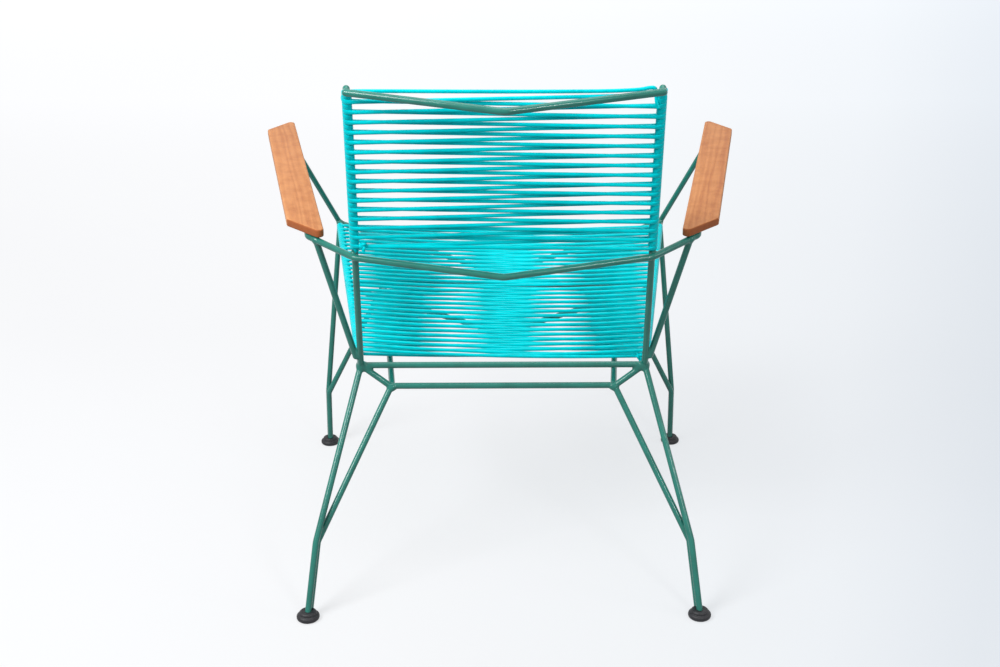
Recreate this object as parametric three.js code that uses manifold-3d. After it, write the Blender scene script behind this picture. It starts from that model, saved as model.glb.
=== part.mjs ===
import * as THREE from "three";
import { mergeVertices } from "three/addons/utils/BufferGeometryUtils.js";
import Module from "manifold-3d";

// Low armchair of bent steel rod, wound with plastic cord, with wooden arm pads and rubber feet.
// Millimetres. The sitter faces -Y, +X is the sitter's left, +Z is up, and the floor is z = 0.
// The left half is built once; what comes in pairs is mirrored for the right.

const wasm = await Module();
wasm.setup();

// Rod stock and joints
const rodDiameter = 9.5;
const rodRadius = rodDiameter / 2;
const rodSides = 12;
const jointGap = 0.3; // left between welded or seated pieces
const bendStepDegrees = 18;

// Side frames: one rod bent into a back stile and a seat rail
const backTopHalfWidth = 203.7;
const backTopDepth = 301.5;
const backTopHeight = 784;
const seatRearHalfWidth = 214.6;
const seatRearDepth = 137;
const seatRearHeight = 328;
const seatFrontHalfWidth = 292.3;
const seatFrontDepth = -360.9;
const seatFrontHeight = 410;
const sideFrameBend = 15;

// Bars bent to a shallow V, behind the back, under the seat and under its front edge
const topBarApexDepth = 365.5;
const topBarApexHeight = 767;
const seatBarShare = 0.539; // of the seat rail, from the rear
const seatBarApexHeight = 281;
const frontBarDrop = 98;
const vBarBend = 22;

// Arm loop: behind both stiles, under both arm pads and down to the seat's front corners
const loopCrossingShare = 0.55; // of the stile, from the top
const loopApexDepth = 264;
const loopApexHeight = 515;
const loopRearInset = 37.8; // of the rear corner from the pad's inner rear corner
const loopRearOffset = 21.4; // from the pad's inner edge
const loopFrontInset = 61.1; // of the front corner from the pad's inner front corner
const loopFrontOffset = 12.4;
const loopBend = 14;

// Arm pads: a board with mitred ends
const padLength = 574.7; // along the inner edge
const padWidth = 49.3;
const padThickness = 12;
const padRearMitre = 69.8;
const padFrontMitre = 50.9;
const padCornerRadius = 7;
const padEdgeRound = 2;
const padTiltDegrees = 4.1;
const padSplayDegrees = 11.53;
const padRearHalfWidth = 252.9; // place of the top face's inner rear corner
const padRearDepth = 191.8;
const padRearHeight = 557;

// Screws up through the loop rod into each pad
const screwDiameter = 4;
const screwHeadDiameter = 8;
const screwHeadHeight = 2.6;
const screwBite = 9; // into the pad
const screwSides = 12;
const screwPlaceShares = [0.12, 0.88]; // of the rod's run under the pad

// Arm struts, from the loop down to the foot of each stile
const strutTopShare = 0.17; // from the loop's rear corner to where it crosses the stile
const strutFootRise = 24; // up the stile from its lower corner
const strutFootOffset = 7; // outward from the stile's centre line

// Leg frames: a rear and a front rod, each a crossbar with two inner legs
const rearBarHalfWidth = 169.6;
const rearBarDepth = 137.7;
const rearBarHeight = 299;
const frontBarHalfWidth = 213.2;
const frontBarDepth = -316.5;
const frontBarHeight = 304.5;
const legFrameBend = 14;

// Legs: an outer and an inner rod meet at a knee and run side by side into the foot
const rearKneeHalfWidth = 277.1;
const rearKneeDepth = 267.3;
const rearKneeHeight = 103.7;
const rearFootHalfWidth = 289.5;
const rearFootDepth = 312;
const frontKneeHalfWidth = 319;
const frontKneeDepth = -295.1;
const frontKneeHeight = 102.9;
const frontFootHalfWidth = 319.7;
const frontFootDepth = -290;
const kneeBend = 40;
const pairLeanShare = 0.2; // how far the pair of rods lies askew, sideways over depth

// Rubber feet
const footDiameter = 34;
const footBaseDiameter = 29;
const footTopDiameter = 19;
const footHeight = 13.5;
const footWidestHeight = 5;
const footFloor = 3.5; // rubber under the rod ends
const footSides = 24;
const footDomeSteps = 4;

// Cord: hollow plastic, round where it spans the frame and pressed flat where it goes round a rod
const cordDiameter = 4.6;
const cordFlatThickness = 2;
const cordFlatWidth = 4.2;
const cordSides = 5;
const turnsPerPass = 1.5; // round a rail, each time the cord reaches it
const stepsPerPass = 8;

// Back winding
const backLoops = 15;
const backFirstRow = 20.2; // down the stile from its top
const backPitch = 15.6;

// Seat winding
const seatLoops = 22;
const seatFirstRow = 37.6; // along the rail from its rear corner
const seatLastRowInset = 11.5; // from the rail's front end
const seatSag = 3;
const seatBarMargin = 2.1; // free rail on each side of the seat bar, besides the cord's own width

const across = new THREE.Vector3(1, 0, 0);
const degrees = THREE.MathUtils.degToRad;

// Plain geometry

function point(halfWidth, depth, height) {
  return new THREE.Vector3(halfWidth, depth, height);
}

function towards(from, to) {
  return to.clone().sub(from).normalize();
}

function moved(from, direction, distance) {
  return from.clone().addScaledVector(direction, distance);
}

function mirrored(place) {
  return point(-place.x, place.y, place.z);
}

// The part of a vector that is square to a direction, as a unit vector.
function squareTo(direction, vector) {
  return moved(vector, direction, -vector.dot(direction)).normalize();
}

// Points of a round bend of the given radius between two straight runs, shortened where a run is short.
function bendPoints(before, corner, after, radius) {
  const inward = towards(before, corner);
  const outward = towards(corner, after);
  const turn = inward.angleTo(outward);
  const room = Math.min(before.distanceTo(corner), corner.distanceTo(after)) / 2;
  const setback = Math.min(radius * Math.tan(turn / 2), room);
  const used = setback / Math.tan(turn / 2);
  const middle = towards(inward, outward);
  const centre = moved(corner, middle, used / Math.cos(turn / 2));
  const axis = inward.clone().cross(outward).normalize();
  const spoke = moved(corner, inward, -setback).sub(centre);
  const steps = Math.max(2, Math.round(turn / degrees(bendStepDegrees)));
  return Array.from({ length: steps + 1 }, (_, i) =>
    spoke.clone().applyAxisAngle(axis, (turn * i) / steps).add(centre),
  );
}

// The middle of such a bend, where other rods are welded to it.
function bendMiddle(before, corner, after, radius) {
  const points = bendPoints(before, corner, after, radius);
  const last = points.length - 1;
  return points[Math.floor(last / 2)].clone().lerp(points[Math.ceil(last / 2)], 0.5);
}

function roundedRoute(corners, radius) {
  const inner = corners.slice(1, -1).flatMap((corner, i) => bendPoints(corners[i], corner, corners[i + 2], radius));
  return [corners[0], ...inner, corners[corners.length - 1]];
}

// A curve that has one sweep step between each two neighbouring points.
class Route extends THREE.Curve {
  constructor(points) {
    super();
    this.points = points;
  }

  getUtoTmapping(u) {
    return u;
  }

  getPoint(t, target = new THREE.Vector3()) {
    const place = t * (this.points.length - 1);
    const i = Math.min(Math.floor(place), this.points.length - 2);
    return target.lerpVectors(this.points[i], this.points[i + 1], place - i);
  }
}

function ringOf(sides, radius) {
  return Array.from({ length: sides }, (_, i) => {
    const angle = (2 * Math.PI * i) / sides;
    return new THREE.Vector2(radius * Math.cos(angle), radius * Math.sin(angle));
  });
}

// Solids: joining, cutting and turning back into meshes

function solidFrom(geometry) {
  const merged = mergeVertices(geometry.deleteAttribute("normal").deleteAttribute("uv"));
  const triVerts = new Uint32Array(merged.index.array);
  return new wasm.Manifold(new wasm.Mesh({ numProp: 3, vertProperties: merged.attributes.position.array, triVerts }));
}

function geometryFrom(solid) {
  const { vertProperties, triVerts } = solid.getMesh();
  const indexed = new THREE.BufferGeometry()
    .setAttribute("position", new THREE.BufferAttribute(vertProperties, 3))
    .setIndex(new THREE.BufferAttribute(triVerts, 1));
  const flat = indexed.toNonIndexed();
  flat.computeVertexNormals();
  return flat;
}

// Cuts the others out of a solid and keeps its main body.
function clearOf(solid, ...others) {
  const rest = others.reduce((left, other) => left.subtract(other), solid);
  return rest.decompose().reduce((largest, body) => (body.volume() > largest.volume() ? body : largest));
}

// A rod swept through its corners; spare is added all round it and at both ends.
function rodSolid(corners, bend = 0, spare = 0) {
  const route = roundedRoute(corners, bend);
  const last = route.length - 1;
  route[0] = moved(route[0], towards(route[1], route[0]), spare);
  route[last] = moved(route[last], towards(route[last - 1], route[last]), spare);
  const radius = spare ? (rodRadius + spare) / Math.cos(Math.PI / rodSides) : rodRadius;
  const section = new THREE.Shape(ringOf(rodSides, radius));
  const settings = { steps: last, extrudePath: new Route(route), curveSegments: 1, bevelEnabled: false };
  return solidFrom(new THREE.ExtrudeGeometry(section, settings));
}

function rodAndCutter(corners, bend = 0) {
  return { solid: rodSolid(corners, bend), cutter: rodSolid(corners, bend, jointGap) };
}

// Materials

const paint = { color: 0x3c8273, roughness: 0.35, metalness: 0.3 };
const cordPlastic = { color: 0x00c4cc, roughness: 0.4, metalness: 0 };
const wood = { color: 0xd08c5c, roughness: 0.55, metalness: 0 };
const rubber = { color: 0x17191d, roughness: 0.7, metalness: 0 };
const steel = { color: 0xb4b6b8, roughness: 0.35, metalness: 0.9 };

function meshOf(name, geometry, look) {
  const mesh = new THREE.Mesh(geometry, new THREE.MeshStandardMaterial(look));
  mesh.name = name;
  return mesh;
}

const chair = new THREE.Group();
const leftHalf = new THREE.Group();
const rightHalf = new THREE.Group();
rightHalf.scale.x = -1;
chair.add(leftHalf, rightHalf);

function addPair(name, solid, look, place = point(0, 0, 0)) {
  const geometry = geometryFrom(solid);
  for (const [half, side] of [
    [leftHalf, "left"],
    [rightHalf, "right"],
  ]) {
    const mesh = meshOf(`${name}_${side}`, geometry, look);
    mesh.position.copy(place);
    half.add(mesh);
  }
}

// Frame points of the left half

const stileTop = point(backTopHalfWidth, backTopDepth, backTopHeight);
const seatRear = point(seatRearHalfWidth, seatRearDepth, seatRearHeight);
const seatFront = point(seatFrontHalfWidth, seatFrontDepth, seatFrontHeight);
const downStile = towards(stileTop, seatRear);
const alongRail = towards(seatRear, seatFront);
const stileLength = stileTop.distanceTo(seatRear);
const railLength = seatRear.distanceTo(seatFront);
const stileOutward = squareTo(downStile, across);
const behindStile = stileOutward.clone().cross(downStile);
const railOutward = squareTo(alongRail, across);
const aboveRail = railOutward.clone().cross(alongRail).negate();
const sideCorner = bendMiddle(stileTop, seatRear, seatFront, sideFrameBend);
const besideRod = rodDiameter + jointGap;

// Side frames, their stiles rounded off at the top

const railEnd = moved(seatFront, alongRail, -rodRadius - jointGap);
const sideFrame = rodAndCutter([stileTop, seatRear, railEnd], sideFrameBend);
const stileCap = new THREE.SphereGeometry(rodRadius * Math.cos(Math.PI / rodSides), rodSides, rodSides / 2);
const stileCapSolid = solidFrom(stileCap.translate(stileTop.x, stileTop.y, stileTop.z));
addPair("side_frame", sideFrame.solid.add(stileCapSolid), paint);

// Left and right cutters of a paired rod, for rods that cross the middle
function bothSides(corners, bend) {
  return [rodSolid(corners, bend, jointGap), rodSolid(corners.map(mirrored), bend, jointGap)];
}

const sideFrameCutters = bothSides([stileTop, seatRear, railEnd], sideFrameBend);

// A bar bent in its middle, from its left end through the apex to its right end
function vCorners(leftEnd, apex) {
  return [leftEnd, apex, mirrored(leftEnd)];
}

// Top bar, lying across the back of both stiles

const topBarApex = point(0, topBarApexDepth, topBarApexHeight);
const topBarSeat = moved(stileTop, behindStile, besideRod);
const topBarEnd = moved(topBarSeat, towards(topBarApex, topBarSeat), rodRadius);
const topBarSolid = clearOf(rodSolid(vCorners(topBarEnd, topBarApex), vBarBend), ...sideFrameCutters);
chair.add(meshOf("back_top_v_bar", geometryFrom(topBarSolid), paint));

// Arm pad frame: X out across the board, Y to the rear along it, Z up from its top face

const padFrame = new THREE.Object3D();
padFrame.position.set(padRearHalfWidth, padRearDepth, padRearHeight);
padFrame.rotation.set(-degrees(padTiltDegrees), 0, degrees(padSplayDegrees), "ZXY");
padFrame.updateMatrixWorld(true);
const rodBelowPad = -padThickness - jointGap - rodRadius;

function underPad(offset, inset) {
  return padFrame.localToWorld(point(offset, -inset, rodBelowPad));
}

// Arm loop

const loopFront = underPad(loopFrontOffset, padLength - loopFrontInset);
const loopRear = underPad(loopRearOffset, loopRearInset);
const stileCrossing = moved(stileTop, downStile, stileLength * loopCrossingShare);
const loopCrossing = moved(stileCrossing, behindStile, besideRod);
const loopApex = point(0, loopApexDepth, loopApexHeight);
const postFoot = moved(seatFront, towards(loopFront, seatFront), rodRadius);
const loopLeft = [postFoot, loopFront, loopRear, loopCrossing];
const loopCorners = [...loopLeft, loopApex, ...loopLeft.map(mirrored).reverse()];
const loop = rodAndCutter(loopCorners, loopBend);

// Screws, in the frame of the rod's run under the pad

const screwUp = point(0, 0, 1).applyQuaternion(padFrame.quaternion);
const screwShank = rodDiameter + jointGap + screwBite;

// A stepped pin from its head's underside upwards; spare widens and lengthens it.
function screwSolid(place, spare) {
  const shankRadius = screwDiameter / 2 + spare;
  const headRadius = screwHeadDiameter / 2 + spare;
  const headTop = -rodRadius - jointGap;
  const shankTop = headTop + jointGap + screwShank + spare;
  const profile = [
    new THREE.Vector2(0, headTop - screwHeadHeight - spare),
    new THREE.Vector2(headRadius, headTop - screwHeadHeight - spare),
    new THREE.Vector2(headRadius, headTop),
    new THREE.Vector2(shankRadius, headTop),
    new THREE.Vector2(shankRadius, shankTop),
    new THREE.Vector2(0, shankTop),
  ];
  const pin = new THREE.LatheGeometry(profile, screwSides);
  pin.applyQuaternion(new THREE.Quaternion().setFromUnitVectors(point(0, 1, 0), screwUp));
  return solidFrom(pin.translate(place.x, place.y, place.z));
}

const screwPlaces = screwPlaceShares.map((share) => loopRear.clone().lerp(loopFront, share));
const leftScrewCutters = screwPlaces.map((place) => screwSolid(place, jointGap));
screwPlaces.forEach((place, i) => addPair(`pad_screw_${i + 1}`, screwSolid(place, 0), steel));

const turnToRight = new THREE.Matrix4().makeScale(-1, 1, 1).elements;
const rightScrewCutters = leftScrewCutters.map((cutter) => cutter.transform(turnToRight));
const loopSolid = clearOf(loop.solid, ...sideFrameCutters, ...leftScrewCutters, ...rightScrewCutters);
chair.add(meshOf("arm_loop_rod", geometryFrom(loopSolid), paint));

// Arm pads, drawn in the pad frame

function padOutline() {
  const corners = [
    new THREE.Vector2(0, 0),
    new THREE.Vector2(0, -padLength),
    new THREE.Vector2(padWidth, padFrontMitre - padLength),
    new THREE.Vector2(padWidth, -padRearMitre),
  ];
  const inset = corners.map((corner, i) => {
    const before = corners[(i + corners.length - 1) % corners.length].clone().sub(corner).normalize();
    const after = corners[(i + 1) % corners.length].clone().sub(corner).normalize();
    const half = Math.acos(before.dot(after)) / 2;
    return corner.clone().addScaledVector(before.add(after).normalize(), padEdgeRound / Math.sin(half));
  });
  const places = inset.map((corner) => point(corner.x, corner.y, 0));
  const radius = padCornerRadius - padEdgeRound;
  const rounded = places.flatMap((corner, i) =>
    bendPoints(places[(i + places.length - 1) % places.length], corner, places[(i + 1) % places.length], radius),
  );
  return new THREE.Shape(rounded.map((place) => new THREE.Vector2(place.x, place.y)));
}

const padSettings = {
  depth: padThickness - 2 * padEdgeRound,
  bevelEnabled: true,
  bevelSize: padEdgeRound,
  bevelThickness: padEdgeRound,
  bevelSegments: 2,
};
const padBoard = new THREE.ExtrudeGeometry(padOutline(), padSettings);
padBoard.translate(0, 0, padEdgeRound - padThickness);
const padSolid = clearOf(solidFrom(padBoard.applyMatrix4(padFrame.matrixWorld)), ...leftScrewCutters);
addPair("arm_pad", padSolid, wood);

// Front bar between the arm posts, dipping below the seat's front edge

const loopCutters = [loop.cutter];
const frontBarApex = point(0, seatFrontDepth, seatFrontHeight - frontBarDrop);
const frontBarCorners = vCorners(seatFront, frontBarApex);
const frontBarSolid = clearOf(rodSolid(frontBarCorners, vBarBend), ...loopCutters, ...sideFrameCutters);
chair.add(meshOf("front_v_bar", geometryFrom(frontBarSolid), paint));
const frontBarCutter = rodSolid(frontBarCorners, vBarBend, jointGap);

// Seat bar, lying across under both rails

const seatBarPlace = railLength * seatBarShare;
const seatBarSeat = moved(moved(seatRear, alongRail, seatBarPlace), aboveRail, -besideRod);
const seatBarApex = point(0, seatBarSeat.y, seatBarApexHeight);
const seatBarEnd = moved(seatBarSeat, towards(seatBarApex, seatBarSeat), rodRadius);
const seatBarCorners = vCorners(seatBarEnd, seatBarApex);
const seatBarSolid = clearOf(rodSolid(seatBarCorners, vBarBend), ...sideFrameCutters);
chair.add(meshOf("seat_v_bar", geometryFrom(seatBarSolid), paint));

// Rear seat crossbar, between the lower corners of the side frames

const rearCrossbar = rodAndCutter([sideCorner, mirrored(sideCorner)]);
chair.add(meshOf("rear_seat_crossbar", geometryFrom(clearOf(rearCrossbar.solid, ...sideFrameCutters)), paint));

// Legs: knee and foot are the middle of the pair, and the two rods lie on either side of it

function legPair(knee, foot, lean) {
  const down = towards(knee, foot);
  const aside = squareTo(down, point(-pairLeanShare, lean, 0));
  const half = besideRod / 2;
  const end = moved(foot, down, footFloor / down.z);
  const inner = moved(end, aside, half);
  const outer = moved(end, aside, -half);
  return {
    innerKnee: moved(knee, aside, half),
    outerKnee: moved(knee, aside, -half),
    innerEnd: moved(inner, down, (end.z - inner.z) / down.z),
    outerEnd: moved(outer, down, (end.z - outer.z) / down.z),
  };
}

const rearKnee = point(rearKneeHalfWidth, rearKneeDepth, rearKneeHeight);
const rearFoot = point(rearFootHalfWidth, rearFootDepth, 0);
const frontKnee = point(frontKneeHalfWidth, frontKneeDepth, frontKneeHeight);
const frontFoot = point(frontFootHalfWidth, frontFootDepth, 0);
const rearPair = legPair(rearKnee, rearFoot, -1);
const frontPair = legPair(frontKnee, frontFoot, 1);

// A rod from one outer leg end up, across and down again
function legFrameCorners(corner, pair) {
  const left = [pair.innerEnd, pair.innerKnee, corner];
  return [...left, ...left.map(mirrored).reverse()];
}

const rearBarCorner = point(rearBarHalfWidth, rearBarDepth, rearBarHeight);
const frontBarCorner = point(frontBarHalfWidth, frontBarDepth, frontBarHeight);
const rearLegFrame = rodAndCutter(legFrameCorners(rearBarCorner, rearPair), legFrameBend);
const frontLegFrame = rodAndCutter(legFrameCorners(frontBarCorner, frontPair), legFrameBend);
chair.add(meshOf("rear_leg_frame", geometryFrom(rearLegFrame.solid), paint));
chair.add(meshOf("front_leg_frame", geometryFrom(frontLegFrame.solid), paint));

const rearLegCorners = [sideCorner, rearPair.outerKnee, rearPair.outerEnd];
const frontLegCorners = [seatFront, frontPair.outerKnee, frontPair.outerEnd];
const rearLeg = rodAndCutter(rearLegCorners, kneeBend);
const frontLeg = rodAndCutter(frontLegCorners, kneeBend);
const cornerCutters = [sideFrame.cutter, rearCrossbar.cutter, rearLegFrame.cutter];
const frontCornerCutters = [sideFrame.cutter, loop.cutter, frontBarCutter, frontLegFrame.cutter];
addPair("rear_outer_leg", clearOf(rearLeg.solid, ...cornerCutters), paint);
addPair("front_outer_leg", clearOf(frontLeg.solid, ...frontCornerCutters), paint);

// Stretchers from the rear leg frame to the front one, and short braces up to the side frames

const rearBarMiddle = bendMiddle(rearPair.innerKnee, rearBarCorner, mirrored(rearBarCorner), legFrameBend);
const frontBarMiddle = bendMiddle(frontPair.innerKnee, frontBarCorner, mirrored(frontBarCorner), legFrameBend);
const stretcher = rodAndCutter([rearBarMiddle, frontBarMiddle]);
addPair("leg_stretcher", clearOf(stretcher.solid, rearLegFrame.cutter, frontLegFrame.cutter), paint);

const brace = rodSolid([sideCorner, rearBarMiddle]);
addPair("rear_brace", clearOf(brace, ...cornerCutters, rearLeg.cutter, stretcher.cutter), paint);

// Arm struts

const strutTop = loopRear.clone().lerp(loopCrossing, strutTopShare);
const strutFoot = moved(moved(seatRear, downStile, -strutFootRise), stileOutward, strutFootOffset);
addPair("arm_strut", clearOf(rodSolid([strutTop, strutFoot]), sideFrame.cutter, loop.cutter), paint);

// Rubber feet: a domed cap with a recess for the pair of rods

function footSolid(foot, ...rods) {
  const shoulder = Array.from({ length: footDomeSteps + 1 }, (_, i) => {
    const angle = (Math.PI / 2) * (i / footDomeSteps);
    const radius = (footTopDiameter + (footDiameter - footTopDiameter) * Math.cos(angle)) / 2;
    return new THREE.Vector2(radius, footWidestHeight + (footHeight - footWidestHeight) * Math.sin(angle));
  });
  const base = [new THREE.Vector2(0, 0), new THREE.Vector2(footBaseDiameter / 2, 0)];
  const dome = new THREE.LatheGeometry([...base, ...shoulder, new THREE.Vector2(0, footHeight)], footSides);
  dome.rotateX(Math.PI / 2).translate(foot.x, foot.y, foot.z);
  return clearOf(solidFrom(dome), ...rods).translate([-foot.x, -foot.y, -foot.z]);
}

addPair("rear_foot", footSolid(rearFoot, rearLeg.cutter, rearLegFrame.cutter), rubber, rearFoot);
addPair("front_foot", footSolid(frontFoot, frontLeg.cutter, frontLegFrame.cutter), rubber, frontFoot);

// Windings. Each is one cord that crosses from the top of one rail to under the other, goes round it
// one and a half times and crosses back, so that the two strands of a loop cross in the middle.

const wrapRadius = (rodRadius + jointGap + cordFlatThickness / 2) / Math.cos((Math.PI * turnsPerPass) / stepsPerPass);

function railFrame(origin, along, outward, top) {
  return { origin, along, outward, top };
}

function mirroredFrame({ origin, along, outward, top }) {
  return railFrame(mirrored(origin), mirrored(along), mirrored(outward), mirrored(top));
}

// Stations round a rail, from under it outward and up, ending on top.
function wrapStations(rail, from, to, turns, sign) {
  const steps = Math.round((stepsPerPass * turns) / turnsPerPass);
  return Array.from({ length: steps + 1 }, (_, i) => {
    const angle = Math.PI / 2 - 2 * Math.PI * turns * (1 - i / steps);
    const spoke = rail.outward.clone().multiplyScalar(Math.cos(angle)).addScaledVector(rail.top, Math.sin(angle));
    const centre = moved(moved(rail.origin, rail.along, from + ((to - from) * i) / steps), spoke, wrapRadius);
    return { centre, normal: spoke.multiplyScalar(sign), thick: cordFlatThickness, wide: cordFlatWidth };
  });
}

// Stations of the round strand between two wraps, without its ends.
function strandStations(start, end, shares, sag) {
  return shares.map((share) => {
    const centre = start.centre.clone().lerp(end.centre, share);
    centre.addScaledVector(start.sagWay, sag * 4 * share * (1 - share));
    return { centre, normal: start.normal.clone(), thick: cordDiameter, wide: cordDiameter };
  });
}

// place(row) gives the distance along the rail of a row, and skew the extra way that strand row makes.
function windingStations(leftRail, loops, place, shares, sag) {
  const rightRail = mirroredFrame(leftRail);
  const sagWay = leftRail.top.clone().setX(0).normalize().negate();
  const stations = wrapStations(leftRail, place(-0.5), place(0), turnsPerPass, 1);
  for (let row = 0; row < loops; row++) {
    const right = wrapStations(rightRail, place(row), place(row + 0.5), turnsPerPass, -1);
    const left = wrapStations(leftRail, place(row + 0.5, true), place(row + 1), turnsPerPass, 1);
    const outgoing = { ...stations[stations.length - 1], sagWay };
    stations.push(...strandStations(outgoing, right[0], shares, sag), ...right);
    const returning = { ...right[right.length - 1], sagWay };
    stations.push(...strandStations(returning, left[0], shares, sag), ...left);
  }
  return stations;
}

// Unit axes of a station's section: across its thickness and across its width.
function sectionAxes(stations, i) {
  const before = stations[Math.max(i - 1, 0)].centre;
  const after = stations[Math.min(i + 1, stations.length - 1)].centre;
  const along = towards(before, after);
  const through = squareTo(along, stations[i].normal);
  return { through, beside: along.clone().cross(through) };
}

function cordGeometry(stations) {
  const positions = [];
  const faces = [];
  const at = (ring, side) => ring * cordSides + (side % cordSides);
  stations.forEach((station, i) => {
    const { through, beside } = sectionAxes(stations, i);
    for (const corner of ringOf(cordSides, 0.5)) {
      const outwards = moved(station.centre, through, station.thick * corner.x);
      positions.push(...moved(outwards, beside, station.wide * corner.y).toArray());
    }
  });
  for (let ring = 0; ring + 1 < stations.length; ring++) {
    for (let side = 0; side < cordSides; side++) {
      faces.push(at(ring, side), at(ring, side + 1), at(ring + 1, side + 1));
      faces.push(at(ring, side), at(ring + 1, side + 1), at(ring + 1, side));
    }
  }
  for (let side = 1; side + 1 < cordSides; side++) {
    const end = stations.length - 1;
    faces.push(at(0, 0), at(0, side + 1), at(0, side));
    faces.push(at(end, 0), at(end, side), at(end, side + 1));
  }
  const tube = new THREE.BufferGeometry();
  tube.setAttribute("position", new THREE.BufferAttribute(new Float32Array(positions), 3));
  tube.setIndex(faces);
  const flat = tube.toNonIndexed();
  flat.computeVertexNormals();
  return flat;
}

// The least gap between stretches of the cord that aren't neighbours, on points along it.
function leastGap(stations) {
  const spacing = 1.3 * cordDiameter;
  const samples = [];
  let run = 0;
  for (let i = 0; i + 1 < stations.length; i++) {
    const here = stations[i];
    const next = stations[i + 1];
    const length = here.centre.distanceTo(next.centre);
    const count = Math.max(1, Math.round(length / spacing));
    const { through, beside } = sectionAxes(stations, i);
    for (let k = 0; k < count; k++) {
      const share = k / count;
      const centre = here.centre.clone().lerp(next.centre, share);
      const thick = THREE.MathUtils.lerp(here.thick, next.thick, share) / 2;
      const wide = THREE.MathUtils.lerp(here.wide, next.wide, share) / 2;
      samples.push({ centre, through, beside, thick, wide, run: run + length * share });
    }
    run += length;
  }
  const reach = ({ through, beside, thick, wide }, way) => Math.hypot(thick * through.dot(way), wide * beside.dot(way));
  let least = Infinity;
  samples.forEach((one, i) => {
    for (const other of samples.slice(i + 1)) {
      if (other.run - one.run < 3 * cordDiameter) continue;
      const distance = one.centre.distanceTo(other.centre);
      if (distance > 3 * cordDiameter) continue;
      const way = towards(one.centre, other.centre);
      least = Math.min(least, distance - reach(one, way) - reach(other, way));
    }
  });
  return least;
}

function addWinding(name, stations) {
  chair.add(meshOf(name, cordGeometry(stations), cordPlastic));
  console.log(`${name}: least gap to itself ${leastGap(stations).toFixed(2)} mm`);
}

// Back winding, from the stile tops down to the arm loop

const backRail = railFrame(stileTop, downStile, stileOutward, behindStile.clone().negate());
const backStrandShares = [0.05, 0.95];
const backPlace = (row) => backFirstRow + backPitch * Math.max(row, -1 / 3);
addWinding("back_cord", windingStations(backRail, backLoops, backPlace, backStrandShares, 0));

// Seat winding, from the rear to the front, parted round the seat bar

const seatRail = railFrame(seatRear, alongRail, railOutward, aboveRail);
const seatStrandShares = [0.1, 0.5, 0.9];
const seatBarRoom = rodRadius + jointGap + cordFlatWidth / 2 + seatBarMargin;
const lastRowPlace = railLength - seatLastRowInset;
const rowsBehindBar = Math.round((seatLoops * (seatBarPlace - seatFirstRow)) / (lastRowPlace - seatFirstRow)) - 0.5;
const rearPitch = (seatBarPlace - seatBarRoom - seatFirstRow) / rowsBehindBar;
const frontPitch = (lastRowPlace - seatBarPlace - seatBarRoom) / (seatLoops - rowsBehindBar);

// The row that crosses over the seat bar leaves behind it and arrives in front of it.
function seatPlace(row, arriving = false) {
  const before = row < rowsBehindBar || (row === rowsBehindBar && !arriving);
  if (before) return seatFirstRow + rearPitch * row;
  return seatBarPlace + seatBarRoom + frontPitch * (row - rowsBehindBar);
}

addWinding("seat_cord", windingStations(seatRail, seatLoops, seatPlace, seatStrandShares, seatSag));

// The part's origin is the middle of its footprint, on the floor
const bounds = new THREE.Box3().setFromObject(chair);
const middle = bounds.getCenter(new THREE.Vector3());
chair.position.set(-middle.x, -middle.y, -bounds.min.z);
console.log(`moved by ${chair.position.toArray().map((value) => value.toFixed(2))} to the origin`);

export default chair;
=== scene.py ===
import math
import bpy
import numpy as np
from mathutils import Matrix, Vector


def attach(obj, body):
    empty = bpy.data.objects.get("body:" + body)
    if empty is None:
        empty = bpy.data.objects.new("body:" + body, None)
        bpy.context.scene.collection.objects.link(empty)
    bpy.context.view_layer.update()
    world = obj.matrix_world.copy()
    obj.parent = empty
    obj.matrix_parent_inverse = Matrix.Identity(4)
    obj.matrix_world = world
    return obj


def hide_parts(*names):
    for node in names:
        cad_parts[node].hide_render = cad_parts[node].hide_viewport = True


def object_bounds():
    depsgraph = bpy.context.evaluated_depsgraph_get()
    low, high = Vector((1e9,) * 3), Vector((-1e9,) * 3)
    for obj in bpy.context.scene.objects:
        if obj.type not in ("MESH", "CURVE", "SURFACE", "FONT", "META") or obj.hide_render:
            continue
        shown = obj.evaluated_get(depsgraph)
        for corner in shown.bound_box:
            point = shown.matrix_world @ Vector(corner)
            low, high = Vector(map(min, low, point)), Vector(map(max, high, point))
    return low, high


# Low armchair of bent rod with a corded seat and back, on a pale floor.
# Lengths in the dictionaries are millimetres unless a name says otherwise.
# The sitter faces -Y, +X is the sitter's left, and what comes in pairs is mirrored.

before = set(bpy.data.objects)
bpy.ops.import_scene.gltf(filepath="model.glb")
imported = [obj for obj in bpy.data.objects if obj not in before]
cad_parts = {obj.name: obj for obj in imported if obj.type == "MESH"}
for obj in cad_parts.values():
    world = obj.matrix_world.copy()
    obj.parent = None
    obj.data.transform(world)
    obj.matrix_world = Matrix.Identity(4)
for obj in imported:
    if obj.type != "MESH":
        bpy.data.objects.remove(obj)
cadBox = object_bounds()
scene = bpy.context.scene
mm = 0.001
print("frame loaded")

# Camera

cameraValues = {
    "place": (22.1, 2077.2, 1128.2),
    "pitchDegrees": 20.9,
    "yawDegrees": -0.52,
    "lens": 49.92,
    "shiftY": -0.0021,
}


def addCamera(values):
    data = bpy.data.cameras.new("camera")
    data.lens = values["lens"]
    data.sensor_width = 36
    data.shift_y = values["shiftY"]
    camera = bpy.data.objects.new("camera", data)
    pitch = math.radians(values["pitchDegrees"])
    yaw = math.radians(values["yawDegrees"])
    level = math.cos(pitch)
    forward = Vector((math.sin(yaw) * level, -math.cos(yaw) * level, -math.sin(pitch)))
    camera.location = Vector(values["place"]) * mm
    camera.rotation_mode = "QUATERNION"
    camera.rotation_quaternion = forward.to_track_quat("-Z", "Y")
    scene.collection.objects.link(camera)
    scene.camera = camera


addCamera(cameraValues)
print("camera placed")

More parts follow.
